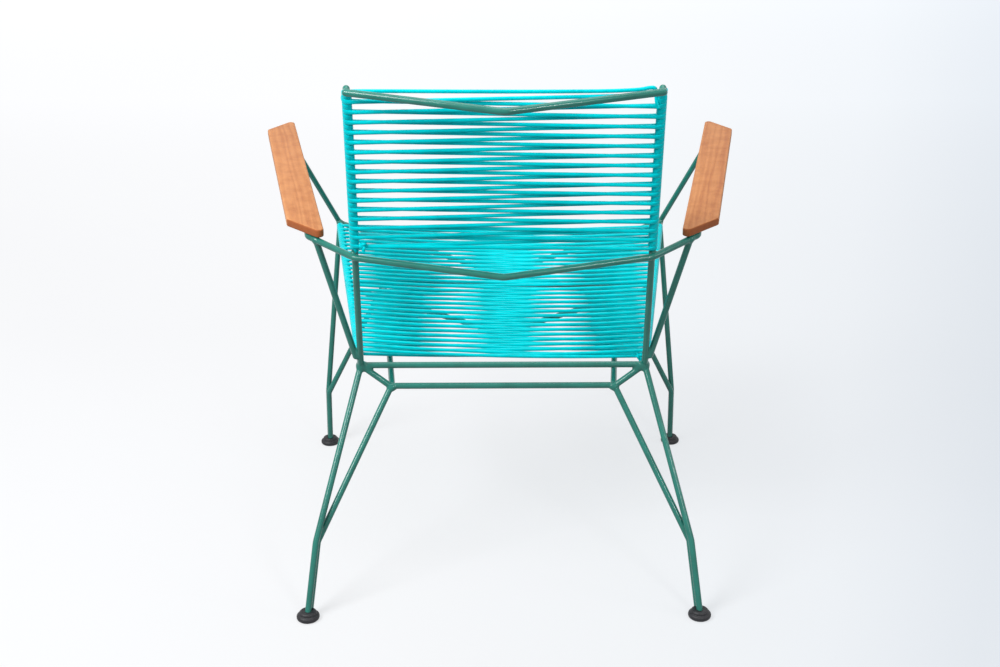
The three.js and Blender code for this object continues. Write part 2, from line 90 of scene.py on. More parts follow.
# Vector helpers on arrays of points in millimetres


def unit(vector):
    return vector / np.linalg.norm(vector, axis=-1, keepdims=True)


def squareTo(direction, vector):
    along = np.sum(direction * vector, axis=-1, keepdims=True)
    return unit(vector - direction * along)


def mirrored(points):
    return np.array(points, float) * (-1, 1, 1)


def turned(vector, axis, angle):
    return (
        vector * math.cos(angle)
        + np.cross(axis, vector) * math.sin(angle)
        + axis * np.dot(axis, vector) * (1 - math.cos(angle))
    )


# Points of a line through the corners, with a round bend at each inner corner.
def roundedRoute(corners, radius, stepDegrees):
    corners = np.array(corners, float)
    route = [corners[0]]
    for before, corner, after in zip(corners, corners[1:], corners[2:]):
        inward, outward = unit(corner - before), unit(after - corner)
        turn = math.acos(max(-1, min(1, float(np.dot(inward, outward)))))
        room = min(np.linalg.norm(corner - before), np.linalg.norm(after - corner)) / 2
        setback = min(radius * math.tan(turn / 2), room)
        used = setback / math.tan(turn / 2)
        centre = corner + unit(outward - inward) * used / math.cos(turn / 2)
        axis = unit(np.cross(inward, outward))
        spoke = corner - inward * setback - centre
        steps = max(2, round(math.degrees(turn) / stepDegrees))
        route += [centre + turned(spoke, axis, turn * i / steps) for i in range(steps + 1)]
    return np.array(route + [corners[-1]])


# Mesh objects


def addMesh(name, points, faces, material):
    mesh = bpy.data.meshes.new(name)
    inside = np.clip(np.asarray(points, float) * mm, *cadBox)
    mesh.from_pydata(inside.tolist(), [], [list(face) for face in faces])
    mesh.validate()
    mesh.polygons.foreach_set("use_smooth", [True] * len(mesh.polygons))
    mesh.materials.append(material)
    piece = bpy.data.objects.new(name, mesh)
    scene.collection.objects.link(piece)
    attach(piece, "root")
    return piece


def sharpen(piece, degrees):
    piece.data.set_sharp_from_angle(angle=math.radians(degrees))


# Several rings of points joined into a tube, closed at both ends.
def ringsMesh(rings):
    count, sides = len(rings), len(rings[0])
    points = np.concatenate(rings)
    faces = []
    for ring in range(count - 1):
        for side in range(sides):
            nextSide = (side + 1) % sides
            low, high = ring * sides, (ring + 1) * sides
            faces.append((low + side, low + nextSide, high + nextSide, high + side))
    faces.append(tuple(range(sides))[::-1])
    faces.append(tuple(range((count - 1) * sides, count * sides)))
    return points, faces


def mirroredMesh(mesh):
    points, faces = mesh
    return mirrored(points), [tuple(face)[::-1] for face in faces]


# A round rod swept along a route; its ends are cut square with a small round, or domed.
def rodMesh(route, radius, sides, domed=(False, False), edge=0.7):
    route = np.array(route, float)
    tangents = np.gradient(route, axis=0)
    for i in range(1, len(route) - 1):
        tangents[i] = unit(route[i] - route[i - 1]) + unit(route[i + 1] - route[i])
    tangents = unit(tangents)
    side = squareTo(tangents[0], np.array((0.3, 0.2, 1.0)))
    angles = np.linspace(0, 2 * np.pi, sides, endpoint=False)[:, None]
    rings = []

    def ringAt(place, tangent, side, size):
        across = np.cross(tangent, side)
        return place + (side * np.cos(angles) + across * np.sin(angles)) * size

    def endRings(place, tangent, side, dome, outward):
        depth = radius if dome else edge
        found = []
        for step in range(5):
            angle = np.pi / 2 * step / 5
            size = radius - depth * (1 - math.cos(angle))
            reach = depth * (math.sin(angle) - (0 if dome else 1))
            found.append(ringAt(place + tangent * outward * reach, tangent, side, size))
        if dome:
            found.append(ringAt(place + tangent * outward * depth * 0.995, tangent, side, radius * 0.1))
        else:
            found.append(ringAt(place, tangent, side, radius - edge))
        return found

    for i, place in enumerate(route):
        if i:
            side = squareTo(tangents[i], side)
        if i == 0:
            rings += endRings(place, tangents[0], side, domed[0], -1)[::-1]
        elif i == len(route) - 1:
            rings += endRings(place, tangents[i], side, domed[1], 1)
        else:
            stretch = 1 / max(0.9, float(np.dot(tangents[i], unit(route[i + 1] - route[i]))))
            rings.append(ringAt(place, tangents[i], side, radius * stretch))
    return ringsMesh(rings)


# A turned shape about an upright axis, from pairs of radius and height.
def turnedMesh(profile, sides, radiusShare=None):
    angles = np.linspace(0, 2 * np.pi, sides, endpoint=False)
    rings = []
    for number, (radius, height) in enumerate(profile):
        size = radius * (radiusShare(number, angles) if radiusShare else 1)
        ring = [size * np.cos(angles), size * np.sin(angles), np.full(sides, height)]
        rings.append(np.stack(ring, 1))
    return ringsMesh(rings)


# Material helpers


class Nodes:
    def __init__(self, name):
        self.material = bpy.data.materials.new(name)
        self.material.use_nodes = True
        self.tree = self.material.node_tree
        self.shader = self.tree.nodes["Principled BSDF"]
        self.place = self.add("ShaderNodeTexCoord").outputs["Object"]

    def add(self, kind, **settings):
        node = self.tree.nodes.new(kind)
        for key, value in settings.items():
            setattr(node, key, value)
        return node

    def link(self, source, target):
        self.tree.links.new(source, target)

    def fill(self, node, values):
        for key, value in values.items():
            if hasattr(value, "is_output"):
                self.link(value, node.inputs[key])
            else:
                node.inputs[key].default_value = value
        return node

    def scaled(self, scale, source):
        mapping = self.add("ShaderNodeMapping")
        self.fill(mapping, {"Vector": source, "Scale": scale})
        return mapping.outputs["Vector"]

    def noise(self, scale, detail=2.0, roughness=0.5, vector=None):
        node = self.add("ShaderNodeTexNoise")
        self.fill(node, {"Vector": vector or self.place, "Scale": scale, "Detail": detail, "Roughness": roughness})
        return node.outputs["Fac"]

    def mapped(self, value, low, high, toLow, toHigh):
        node = self.add("ShaderNodeMapRange")
        names = ("From Min", "From Max", "To Min", "To Max")
        self.fill(node, dict(zip(names, (low, high, toLow, toHigh)), Value=value))
        return node.outputs["Result"]

    def ramp(self, value, stops):
        node = self.add("ShaderNodeValToRGB")
        self.link(value, node.inputs["Fac"])
        elements = node.color_ramp.elements
        elements[0].position, elements[1].position = stops[0][0], stops[-1][0]
        for place, colour in stops[1:-1]:
            elements.new(place)
        for element, (place, colour) in zip(elements, stops):
            element.color = (*colour, 1)
        return node.outputs["Color"]

    def mixed(self, share, first, second, blend="MIX"):
        node = self.add("ShaderNodeMix", data_type="RGBA", blend_type=blend)
        first, second = (value if hasattr(value, "is_output") else (*value, 1) for value in (first, second))
        return self.fill(node, {0: share, 6: first, 7: second}).outputs[2]

    def worked(self, operation, first, second):
        node = self.add("ShaderNodeMath", operation=operation)
        return self.fill(node, {0: first, 1: second}).outputs[0]

    def plus(self, first, second):
        return self.worked("ADD", first, second)

    def times(self, first, second):
        return self.worked("MULTIPLY", first, second)

    # The height is in metres.
    def bump(self, height):
        node = self.add("ShaderNodeBump")
        self.fill(node, {"Height": height, "Distance": 1.0, "Strength": 1.0})
        self.link(node.outputs["Normal"], self.shader.inputs["Normal"])


# Green gloss paint on the rods

paintValues = {
    "colour": (0.014, 0.196, 0.152),
    "darker": (0.012, 0.157, 0.121),
    "patchScale": 38.0,
    "roughness": (0.16, 0.26),
    "specular": 0.28,
    "coat": 0.25,
    "coatRoughness": 0.12,
    "peelScale": 420.0,
    "peelDepth": 0.00003,  # metres, as runDepth is
    "runScale": 60.0,
    "runDepth": 0.0001,
}


def paintMaterial(values):
    nodes = Nodes("green_gloss_paint")
    broad = nodes.noise(values["patchScale"], 3.0)
    fine = nodes.noise(values["peelScale"], 2.0)
    runs = nodes.noise(values["runScale"], 2.0, 0.6)
    colour = nodes.ramp(broad, [(0.32, values["darker"]), (0.62, values["colour"])])
    rough = nodes.mapped(fine, 0.3, 0.7, *values["roughness"])
    nodes.fill(nodes.shader, {
        "Base Color": colour,
        "Roughness": rough,
        "Specular IOR Level": values["specular"],
        "Coat Weight": values["coat"],
        "Coat Roughness": values["coatRoughness"],
    })
    peel = nodes.times(fine, values["peelDepth"])
    run = nodes.times(runs, values["runDepth"])
    nodes.bump(nodes.plus(peel, run))
    return nodes.material


paint = paintMaterial(paintValues)

# Turquoise plastic cord

cordLook = {
    "colour": (0.0, 0.68, 0.735),
    "darker": (0.0, 0.585, 0.64),
    "patchScale": 30.0,
    "specular": 0.24,
    "specularTint": (0.12, 0.95, 1.0, 1),
    "roughness": (0.26, 0.4),
    "grainScale": 700.0,
    "grainDepth": 0.00003,  # metres
    "subsurface": 0.12,
    "subsurfaceRadius": (0.002, 0.006, 0.006),
}


def cordMaterial(values):
    nodes = Nodes("turquoise_cord")
    broad = nodes.noise(values["patchScale"], 3.0)
    fine = nodes.noise(values["grainScale"], 2.0)
    colour = nodes.ramp(broad, [(0.35, values["darker"]), (0.6, values["colour"])])
    rough = nodes.mapped(fine, 0.3, 0.7, *values["roughness"])
    nodes.fill(nodes.shader, {
        "Base Color": colour,
        "Roughness": rough,
        "Specular IOR Level": values["specular"],
        "Specular Tint": values["specularTint"],
        "Subsurface Weight": values["subsurface"],
        "Subsurface Radius": values["subsurfaceRadius"],
    })
    nodes.bump(nodes.times(fine, values["grainDepth"]))
    return nodes.material


cordPlastic = cordMaterial(cordLook)
print("paint and cord materials made")

# Rods: corners of each centre line, the bend radius and which ends are domed

rodValues = {
    "diameter": 9.5,
    "sides": 28,
    "bendStepDegrees": 5,
}

sideCorner = (215.06, 133.42, 331.88)
rearBarMiddle = (168.17, 137.55, 297.12)
frontBarMiddle = (211.83, -317.55, 302.28)
stileTop = (203.7, 300.16, 784)
seatRear = (214.6, 135.66, 328)
seatFront = (292.3, -362.24, 410)

# One row for each rod of the left half
pairedRods = {
    "side_frame": ([stileTop, seatRear, (291.53, -357.31, 409.19)], 15, (True, False)),
    "rear_outer_leg": ([sideCorner, (277.91, 270.36, 105.69), (290.13, 314.41, 3.5)], 40, (False, False)),
    "front_outer_leg": ([seatFront, (319.96, -301.24, 102.67), (320.64, -296.32, 3.5)], 40, (True, False)),
    "leg_stretcher": ([rearBarMiddle, frontBarMiddle], 0, (False, False)),
    "rear_brace": ([sideCorner, rearBarMiddle], 0, (False, False)),
    "arm_strut": ([(269.38, 167.2, 540.49), (221.06, 143.86, 350.72)], 0, (True, True)),
}

# The left half of each rod that crosses the middle, up to the middle or its corner there
crossRods = {
    "back_top_v_bar": ([(203.7, 309.38, 780.67), (0, 364.16, 767)], 22),
    "arm_loop_rod": (
        [
            (290.42, -363.54, 405.84), (367.65, -310.19, 576.69),
            (281.61, 156.61, 542.67), (209.69, 218.91, 529.87), (0, 262.66, 515),
        ],
        14,
    ),
    "front_v_bar": ([(292.3, -362.24, 410), (0, -362.24, 312)], 22),
    "seat_v_bar": ([(261.01, -134.3, 363.97), (0, -134.3, 281)], 22),
    "rear_seat_crossbar": ([sideCorner], 0),
    "rear_leg_frame": ([(288.03, 303.89, 3.5), (276.29, 261.56, 101.71), (169.6, 136.36, 299)], 14),
    "front_leg_frame": ([(318.71, -286.7, 3.5), (318.04, -291.64, 103.13), (213.2, -317.84, 304.5)], 14),
}

rodRadius = rodValues["diameter"] / 2
routes = {}
for name, (corners, bend, domed) in pairedRods.items():
    routes[name] = roundedRoute(corners, bend, rodValues["bendStepDegrees"])
    left = rodMesh(routes[name], rodRadius, rodValues["sides"], domed)
    for side, mesh in (("left", left), ("right", mirroredMesh(left))):
        piece = addMesh(f"{name}_{side}_rod", *mesh, paint)
        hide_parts(f"{name}_{side}")
for name, (corners, bend) in crossRods.items():
    onMiddle = corners[-1][0] == 0
    other = mirrored(corners[:-1] if onMiddle else corners)[::-1].tolist()
    routes[name] = roundedRoute(list(corners) + other, bend, rodValues["bendStepDegrees"])
    domed = name == "back_top_v_bar"  # the only one whose ends show
    mesh = rodMesh(routes[name], rodRadius, rodValues["sides"], (domed, domed))
    piece = addMesh(f"{name}_rod", *mesh, paint)
    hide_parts(name)
print("rods made")

# Welds: fillets where rods meet, drawn as the surface of a rounded union

weldValues = {
    "fillet": 3.4,  # radius in the corner between two rods
    "cell": 0.65,  # spacing of the grid that the surface is drawn on
    "lump": 0.1,  # height of the uneven bead
    "lumpWaves": (1.9, 1.6, 1.7),  # its waves along X, Y and Z
    "lumpFade": 0.6,  # the fillet's depth over which the lumps come up
    "sink": 0.03,  # how far the surface is drawn in, so that it ends under the rods
    "skin": 0.02,  # what lies closer to a rod than this is left out
    "reach": 12,  # how far beyond the weld its rods are followed
}

# Name: the middle of the weld, its half size, the rods that meet there and sometimes its own fillet
weldPlaces = {
    "side_corner": (
        sideCorner, (19, 19, 21), ("side_frame", "rear_seat_crossbar", "rear_outer_leg", "rear_brace"), 5.5,
    ),
    "rear_bar_corner": (rearBarMiddle, (17, 14, 15), ("rear_leg_frame", "leg_stretcher", "rear_brace")),
    "front_bar_corner": (frontBarMiddle, (15, 15, 15), ("front_leg_frame", "leg_stretcher")),
    "seat_front": ((292, -360, 408), (17, 17, 22), ("side_frame", "arm_loop_rod", "front_v_bar", "front_outer_leg")),
    "seat_bar_end": ((256.5, -133.5, 367.6), (14, 13, 13), ("side_frame", "seat_v_bar")),
    "loop_crossing": ((209.69, 214, 531), (14, 13, 14), ("side_frame", "arm_loop_rod")),
    "top_bar_end": ((203.7, 304.5, 780), (16, 15, 17), ("side_frame", "back_top_v_bar"), 5.5),
    "strut_top": ((269.38, 167.2, 540.49), (16, 16, 16), ("arm_strut", "arm_loop_rod")),
    "strut_foot": ((219, 143, 355), (14, 13, 22), ("arm_strut", "side_frame")),
    "rear_knee": ((276, 262, 112), (13, 22, 24), ("rear_outer_leg", "rear_leg_frame")),
    "front_knee": ((318.6, -297, 104), (13, 14, 24), ("front_outer_leg", "front_leg_frame")),
}


def stretchDistance(points, start, end):
    run = end - start
    share = np.clip((points - start) @ run / np.dot(run, run), 0, 1)
    return np.linalg.norm(points - start - share[:, None] * run, axis=1) - rodRadius


def roundUnion(first, second, radius):
    near = np.hypot(np.maximum(radius - first, 0), np.maximum(radius - second, 0))
    return np.maximum(radius, np.minimum(first, second)) - near


# The zero surface of values on a grid, one point in each cell that it passes through.
def surfaceNet(values, origin, cell):
    inside = values < 0
    shape = np.array(values.shape) - 1
    corners = [(i, j, k) for i in (0, 1) for j in (0, 1) for k in (0, 1)]

    def at(grid, corner):
        return grid[tuple(slice(low, low + length) for low, length in zip(corner, shape))]

    total = sum(at(inside, corner).astype(int) for corner in corners)
    mixedCells = (total > 0) & (total < 8)
    places = np.zeros((*shape, 3))
    counts = np.zeros(shape)
    for corner in corners:
        for axis in range(3):
            if corner[axis]:
                continue
            other = tuple(place + (1 if i == axis else 0) for i, place in enumerate(corner))
            here, there = at(values, corner), at(values, other)
            crossed = (here < 0) != (there < 0)
            share = np.where(crossed, here / np.where(crossed, here - there, 1), 0)
            point = np.array(corner, float) + np.eye(3)[axis] * share[..., None]
            places += np.where(crossed[..., None], point, 0)
            counts += crossed
    index = -np.ones(shape, int)
    index[mixedCells] = np.arange(mixedCells.sum())
    cells = np.argwhere(mixedCells)
    points = origin + (cells + places[mixedCells] / counts[mixedCells][:, None]) * cell
    faces = []
    for axis in range(3):
        u, v = (axis + 1) % 3, (axis + 2) % 3
        low = np.take(inside, range(inside.shape[axis] - 1), axis)
        high = np.take(inside, range(1, inside.shape[axis]), axis)
        for edge in np.argwhere(low != high):
            if min(edge[u], edge[v]) < 1 or edge[u] >= shape[u] or edge[v] >= shape[v]:
                continue
            quad = []
            for du, dv in ((1, 1), (0, 1), (0, 0), (1, 0)):
                cellPlace = edge.copy()
                cellPlace[u] -= du
                cellPlace[v] -= dv
                quad.append(index[tuple(cellPlace)])
            faces.append(tuple(quad if low[tuple(edge)] else quad[::-1]))
    return points, faces


def weldMesh(values, place, half, rods, fillet):
    cell = values["cell"]
    place, half = np.array(place, float), np.array(half, float)
    counts = np.ceil(2 * half / cell).astype(int) + 1
    origin = place - half
    axes = [origin[i] + np.arange(counts[i]) * cell for i in range(3)]
    grid = np.stack(np.meshgrid(*axes, indexing="ij"), -1).reshape(-1, 3)
    wide = np.linalg.norm(half) + values["reach"]

    # Distances to a rod's surface, from the stretches of the rod that come near the weld.
    def distanceTo(name, points):
        route = routes[name]
        found = np.full(len(points), 1e9)
        for start, end in zip(route, route[1:]):
            run = end - start
            share = np.clip(np.dot(place - start, run) / np.dot(run, run), 0, 1)
            if np.linalg.norm(place - start - share * run) < wide:
                found = np.minimum(found, stretchDistance(points, start, end))
        return found

    distances = [distanceTo(name, grid) for name in rods]
    plain = distances[0]
    merged = distances[0]
    for distance in distances[1:]:
        merged = roundUnion(merged, distance, fillet)
        plain = np.minimum(plain, distance)
    waves = values["lumpWaves"]
    lumps = np.sin(grid[:, 0] * waves[0]) * np.sin(grid[:, 1] * waves[1] + 1) * np.sin(grid[:, 2] * waves[2] + 2)
    filled = np.clip((plain - merged) / values["lumpFade"], 0, 1)
    merged = merged - values["lump"] * lumps * filled + values["sink"]
    points, faces = surfaceNet(merged.reshape(counts), origin, cell)
    kept = np.min([distanceTo(name, points) for name in rods], axis=0) > values["skin"]
    faces = [face for face in faces if any(kept[corner] for corner in face)]
    used = np.unique(np.array(faces).ravel())
    renumbered = {old: new for new, old in enumerate(used)}
    return points[used], [tuple(renumbered[corner] for corner in face) for face in faces]


for name, (place, half, rods, *fillet) in weldPlaces.items():
    weld = weldMesh(weldValues, place, half, rods, fillet[0] if fillet else weldValues["fillet"])
    for side, mesh in (("left", weld), ("right", mirroredMesh(weld))):
        addMesh(f"weld_{name}_{side}", *mesh, paint)
print("welds made")

# Windings: figure of eight loops, the cord pressed flat where it goes round a rail

cordValues = {
    "diameter": 5.4,
    "sides": 12,
    "flatThickness": 1.8,  # where it is pressed on a rail
    "flatWidth": 7.75,
    "flatPower": 4.6,  # squareness of its section there, 2 is round
    "endFlat": 0.75,  # share of the full flatness where a strand meets a wrap
    "endFlatRise": 4,  # further share for each turn on from there
    "endFlatReach": 9,  # length of strand over which it gets round
    "innerWidening": 0.9,  # where it crosses over on the inner side
    "railGap": 0.05,
    "turns": 1.5,  # round a rail, each time
    "stepsPerTurn": 24,
    "strandOffset": 6.4,  # of a strand's end above or below the rail's middle
    "strandNearEnds": (2.2, 4.5, 7.5, 11.0),  # close stations at each end
    "unevenness": 0.16,
    "seed": 7,
}

railValues = {
    "back": {
        "origin": stileTop,
        "along": (0.02248, -0.33925, -0.94043),
        "outward": (0.99975, 0.00763, 0.02115),
        "top": (0.0, -0.94066, 0.33934),
    },
    "seat": {
        "origin": seatRear,
        "along": (0.15219, -0.97521, 0.16061),
        "outward": (0.98835, 0.15016, -0.02473),
        "top": (0.0, 0.1625, 0.98671),
    },
}

wrapRadius = rodRadius + cordValues["flatThickness"] / 2 + cordValues["railGap"]
random = np.random.default_rng(cordValues["seed"])


def railOf(name, side):
    values = {key: np.array(value, float) for key, value in railValues[name].items()}
    return values if side == "left" else {key: mirrored(value) for key, value in values.items()}


# The share of a row that the cord has gone along the rail at a point of its wrap: the two turns lie
# side by side, and the cord crosses to the second one round the inner side.
def wrapAdvance(turn, share):
    marks = ((0.0, 0.0), (0.5, share - 0.5), (1.0, 0.5), (1.5, share))
    for (t0, s0), (t1, s1) in zip(marks, marks[1:]):
        if turn <= t1 + 1e-9:
            part = (turn - t0) / (t1 - t0)
            return s0 + (s1 - s0) * part * part * (3 - 2 * part)
    return share


# Stations of a wrap: centre, outward normal and flatness, which is over 1 where the cord widens.
def wrapStations(rail, start, pitch, share, sign, dodge):
    turns = cordValues["turns"]
    steps = round(cordValues["stepsPerTurn"] * turns)
    stations = []
    for i in range(steps + 1):
        turn = turns * i / steps
        angle = math.pi / 2 - 2 * math.pi * turn
        spoke = rail["outward"] * math.cos(angle) + rail["top"] * math.sin(angle)
        along = start + pitch * wrapAdvance(turn, share)
        along += (1 - math.sin(angle)) / 2 * (dodge(along) - along)
        place = rail["origin"] + rail["along"] * along + spoke * wrapRadius
        fromEnd = min(i, steps - i) / cordValues["stepsPerTurn"]
        inner = max(0.0, -math.cos(angle)) if 0.5 < turn < 1.0 else 0.0
        flat = min(1.0, cordValues["endFlat"] + fromEnd * cordValues["endFlatRise"])
        stations.append((place, spoke * sign, flat + cordValues["innerWidening"] * inner))
    return stations


# Stations of a round strand between two wraps, sagging by the given depth in its middle.
def strandStations(start, end, sag, topWay):
    (startPlace, startNormal, _), (endPlace, _, _) = start, end
    length = np.linalg.norm(endPlace - startPlace)
    near = np.array(cordValues["strandNearEnds"]) / length
    shares = np.concatenate([near, np.linspace(0.07, 0.93, 11), 1 - near[::-1]])
    ends = cordValues["strandOffset"] - (rodRadius + cordValues["flatThickness"] / 2)
    stations = []
    for share in shares:
        place = startPlace + (endPlace - startPlace) * share
        rise = ends * (2 * share - 1) * min(1, share / near[1], (1 - share) / near[1])
        place = place + topWay * (rise - sag * 4 * share * (1 - share))
        fromEnd = min(share, 1 - share) * length
        flat = cordValues["endFlat"] * (1 - fromEnd / cordValues["endFlatReach"])
        stations.append((place, startNormal, max(0.0, flat)))
    return stations


# Thickness, width and squareness of the cord's section.
def sectionOf(flat):
    thick = cordValues["diameter"] + (cordValues["flatThickness"] - cordValues["diameter"]) * min(1, flat)
    wide = cordValues["diameter"] + (cordValues["flatWidth"] - cordValues["diameter"]) * flat
    return thick, wide, 2 + (cordValues["flatPower"] - 2) * min(1, flat)


def cordMesh(stations):
    places = np.array([station[0] for station in stations])
    normals = np.array([station[1] for station in stations])
    tangents = unit(np.gradient(places, axis=0))
    through = squareTo(tangents, normals)
    beside = np.cross(tangents, through)
    sides = cordValues["sides"]
    angles = np.linspace(0, 2 * np.pi, sides, endpoint=False) + np.pi / sides
    rings = []
    for i, station in enumerate(stations):
        thick, wide, power = sectionOf(station[2])
        cos, sin = np.cos(angles), np.sin(angles)
        size = (np.abs(cos) ** power + np.abs(sin) ** power) ** (-1 / power)
        ring = places[i] + through[i] * (thick / 2 * size * cos)[:, None]
        rings.append(ring + beside[i] * (wide / 2 * size * sin)[:, None])
    return ringsMesh(rings)


# Rows of wraps on both rails with the crossing strands between them: a strand comes to the left rail
# on top, leaves it from below, comes to the right rail on top and leaves that from below. An end is
# the place of a knot where the cord starts or stops.
def windingStations(name, values, dodge):
    topWay = unit(railOf(name, "left")["top"] * (0, 1, 1))
    stations = []
    if values["startAt"]:
        stations.append((np.array(values["startAt"], float), -topWay, 0.0))
    for row in range(values["firstRow"], values["lastRow"] + 1):
        for side, sign in (("left", 1), ("right", -1)):
            pitch, cover = values[f"{side}Pitch"], values[f"{side}Cover"]
            jitter = random.normal(0, cordValues["unevenness"], 2)
            place = values[f"{side}Place"] + pitch * row + jitter[0]
            wrap = wrapStations(railOf(name, side), place, pitch, cover, sign, dodge)
            if stations:
                stations += strandStations(stations[-1], wrap[0], values["sag"] + jitter[1], topWay)
            stations += wrap
    if values["endAt"]:
        end = (np.array(values["endAt"], float), topWay, 0.0)
        stations += strandStations(stations[-1], end, values["sag"], topWay) + [end]
    return stations


# Place is where a row 0 wrap starts along the rail, pitch is from row to row, and cover is the share
# of a pitch that a wrap takes.
backValues = {
    "startAt": None,
    "endAt": (201.5, 223.0, 547.5),
    "firstRow": -1,
    "lastRow": 14,
    "leftPlace": 22.0,
    "leftPitch": 15.556,
    "leftCover": 0.632,
    "rightPlace": 29.38,
    "rightPitch": 15.389,
    "rightCover": 0.644,
    "sag": 0,
}

seatValues = {
    "startAt": (-212.0, 98.0, 332.0),
    "endAt": None,
    "firstRow": 0,
    "lastRow": 29,
    "leftPlace": 44.86,
    "leftPitch": 15.23,
    "leftCover": 0.597,
    "rightPlace": 40.04,
    "rightPitch": 15.162,
    "rightCover": 0.675,
    "sag": 5.8,
    "barPlace": 275.19,
    "barRoom": 7.3,
    "barReach": 14,
}


# Under the rails the wraps near the seat bar are pushed aside by it.
def dodgeBar(along):
    room, reach = seatValues["barRoom"], seatValues["barReach"]
    away = along - seatValues["barPlace"]
    if abs(away) >= reach:
        return along
    return seatValues["barPlace"] + math.copysign(room + abs(away) * (reach - room) / reach, away)


backStations = windingStations("back", backValues, lambda along: along)
seatStations = windingStations("seat", seatValues, dodgeBar)


# Close turns on a stile: below the top bar on the right, and under the last row on the left. Each has
# its side and its first and last place along the stile.
closeTurns = (("right", 3.1, 9.3), ("left", 250.8, 257.5))


def closeStations(side, first, last):
    rail = railOf("back", side)
    turns = round((last - first) / cordValues["flatWidth"] * 2) / 2
    steps = round(turns * cordValues["stepsPerTurn"])
    stations = []
    for i in range(steps + 1):
        angle = -math.pi / 2 - 2 * math.pi * turns * (1 - i / steps)
        spoke = rail["outward"] * math.cos(angle) + rail["top"] * math.sin(angle)
        place = rail["origin"] + rail["along"] * (first + (last - first) * i / steps) + spoke * wrapRadius
        stations.append((place, spoke, 1.0))
    return stations


for side, first, last in closeTurns:
    mesh = cordMesh(closeStations(side, first, last))
    piece = addMesh(f"back_cord_close_turns_{side}", *mesh, cordPlastic)


# The turns press each other flat, so a thin sleeve closes the grooves between them. It leaves room
# for the seat bar's end.
sleeveValues = {
    "radius": 6.25,
    "rings": 60,
    "sides": 24,
    "barRoom": 12,
    "sunk": 0.3,  # how far under the rod's surface it ends
    # part, first and last place on the rail, and the seat bar's place
    "spans": (("back", 5, 259, None), ("seat", 42, 490, seatValues["barPlace"])),
}


def sleeveMesh(values, rail, first, last, barPlace):
    angles = np.linspace(0, 2 * np.pi, values["sides"], endpoint=False)[:, None]
    rings = []
    for place in np.linspace(first, last, values["rings"]):
        clear = barPlace is None or abs(place - barPlace) > values["barRoom"]
        radius = values["radius"] if clear and 0 < place - first < last - first else rodRadius - values["sunk"]
        spokes = rail["outward"] * np.cos(angles) + rail["top"] * np.sin(angles)
        rings.append(rail["origin"] + rail["along"] * place + spokes * radius)
    return ringsMesh(rings)


for part, *span in sleeveValues["spans"]:
    for side in ("left", "right"):
        mesh = sleeveMesh(sleeveValues, railOf(part, side), *span)
        piece = addMesh(f"{part}_cord_sleeve_{side}", *mesh, cordPlastic)

for name, stations in (("back_cord", backStations), ("seat_cord", seatStations)):
    piece = addMesh(f"{name}_winding", *cordMesh(stations), cordPlastic)
    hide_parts(name)

# Loose ends: the strand along the very top and the end knots

endValues = {
    "cord": 5.2,
    "topLine": [
        (207.5, 296.0, 766.0), (209.5, 291.5, 771.0), (206.0, 289.6, 776.5), (197.0, 290.2, 778.6),
        (150.0, 290.8, 778.9), (0.0, 291.2, 778.2), (-120.0, 291.6, 778.6), (-170.0, 293.0, 780.6),
        (-187.5, 297.0, 784.0), (-193.5, 297.5, 783.4), (-196.0, 295.3, 778.0), (-196.4, 295.2, 771.0),
        (-197.2, 297.5, 764.0), (-199.5, 299.5, 757.0),
    ],
    "knotCord": 4.8,
    "knotSize": 3.4,
    "backKnot": (196.4, 225.0, 549.0),
    "seatKnot": (-211.5, 98.5, 330.5),
}


# A smooth line through points, with several steps between each two.
def smoothLine(points, steps=6):
    points = np.array(points, float)
    padded = np.concatenate([[2 * points[0] - points[1]], points, [2 * points[-1] - points[-2]]])
    line = []
    for a, b, c, d in zip(padded, padded[1:], padded[2:], padded[3:]):
        for t in np.linspace(0, 1, steps, endpoint=False):
            bend = (2 * a - 5 * b + 4 * c - d) * t * t + (3 * b - a - 3 * c + d) * t ** 3
            line.append(0.5 * (2 * b + (c - a) * t + bend))
    return np.array(line + [points[-1]])


# An overhand knot with a short tail, drawn round its own middle.
def knotLine(size):
    turns = np.linspace(0.25, 2 * math.pi - 0.25, 48)
    x = np.sin(turns) + 2 * np.sin(2 * turns)
    y = np.cos(turns) - 2 * np.cos(2 * turns)
    z = -1.15 * np.sin(3 * turns)
    knot = np.stack([-x * 0.7, z, y * 0.85], 1) * size * 0.55
    tail = [knot[-1] + (-1.5, 0, -3), knot[-1] + (-2.5, 0, -7)]
    return smoothLine(np.concatenate([knot, tail]), 2)


def addEnd(name, line, radius):
    piece = addMesh(name, *rodMesh(line, radius, 14, edge=0.5), cordPlastic)


addEnd("back_cord_top_strand", smoothLine(endValues["topLine"]), endValues["cord"] / 2)
for name in ("back", "seat"):
    line = knotLine(endValues["knotSize"]) + np.array(endValues[f"{name}Knot"])
    addEnd(f"{name}_cord_knot", line, endValues["knotCord"] / 2)
print("windings made")

# Arm pads: boards of oiled wood with mitred ends, drawn in their own frame

padValues = {
    "length": 574.7,
    "width": 49.3,
    "thickness": 12,
    "rearMitre": 69.8,
    "frontMitre": 50.9,
    "cornerRadius": 7,
    "edgeRound": 2.2,
    "edgeSteps": 5,
    "place": (252.9, 190.46, 557.0),
    "tiltDegrees": 4.1,
    "splayDegrees": 11.53,
}

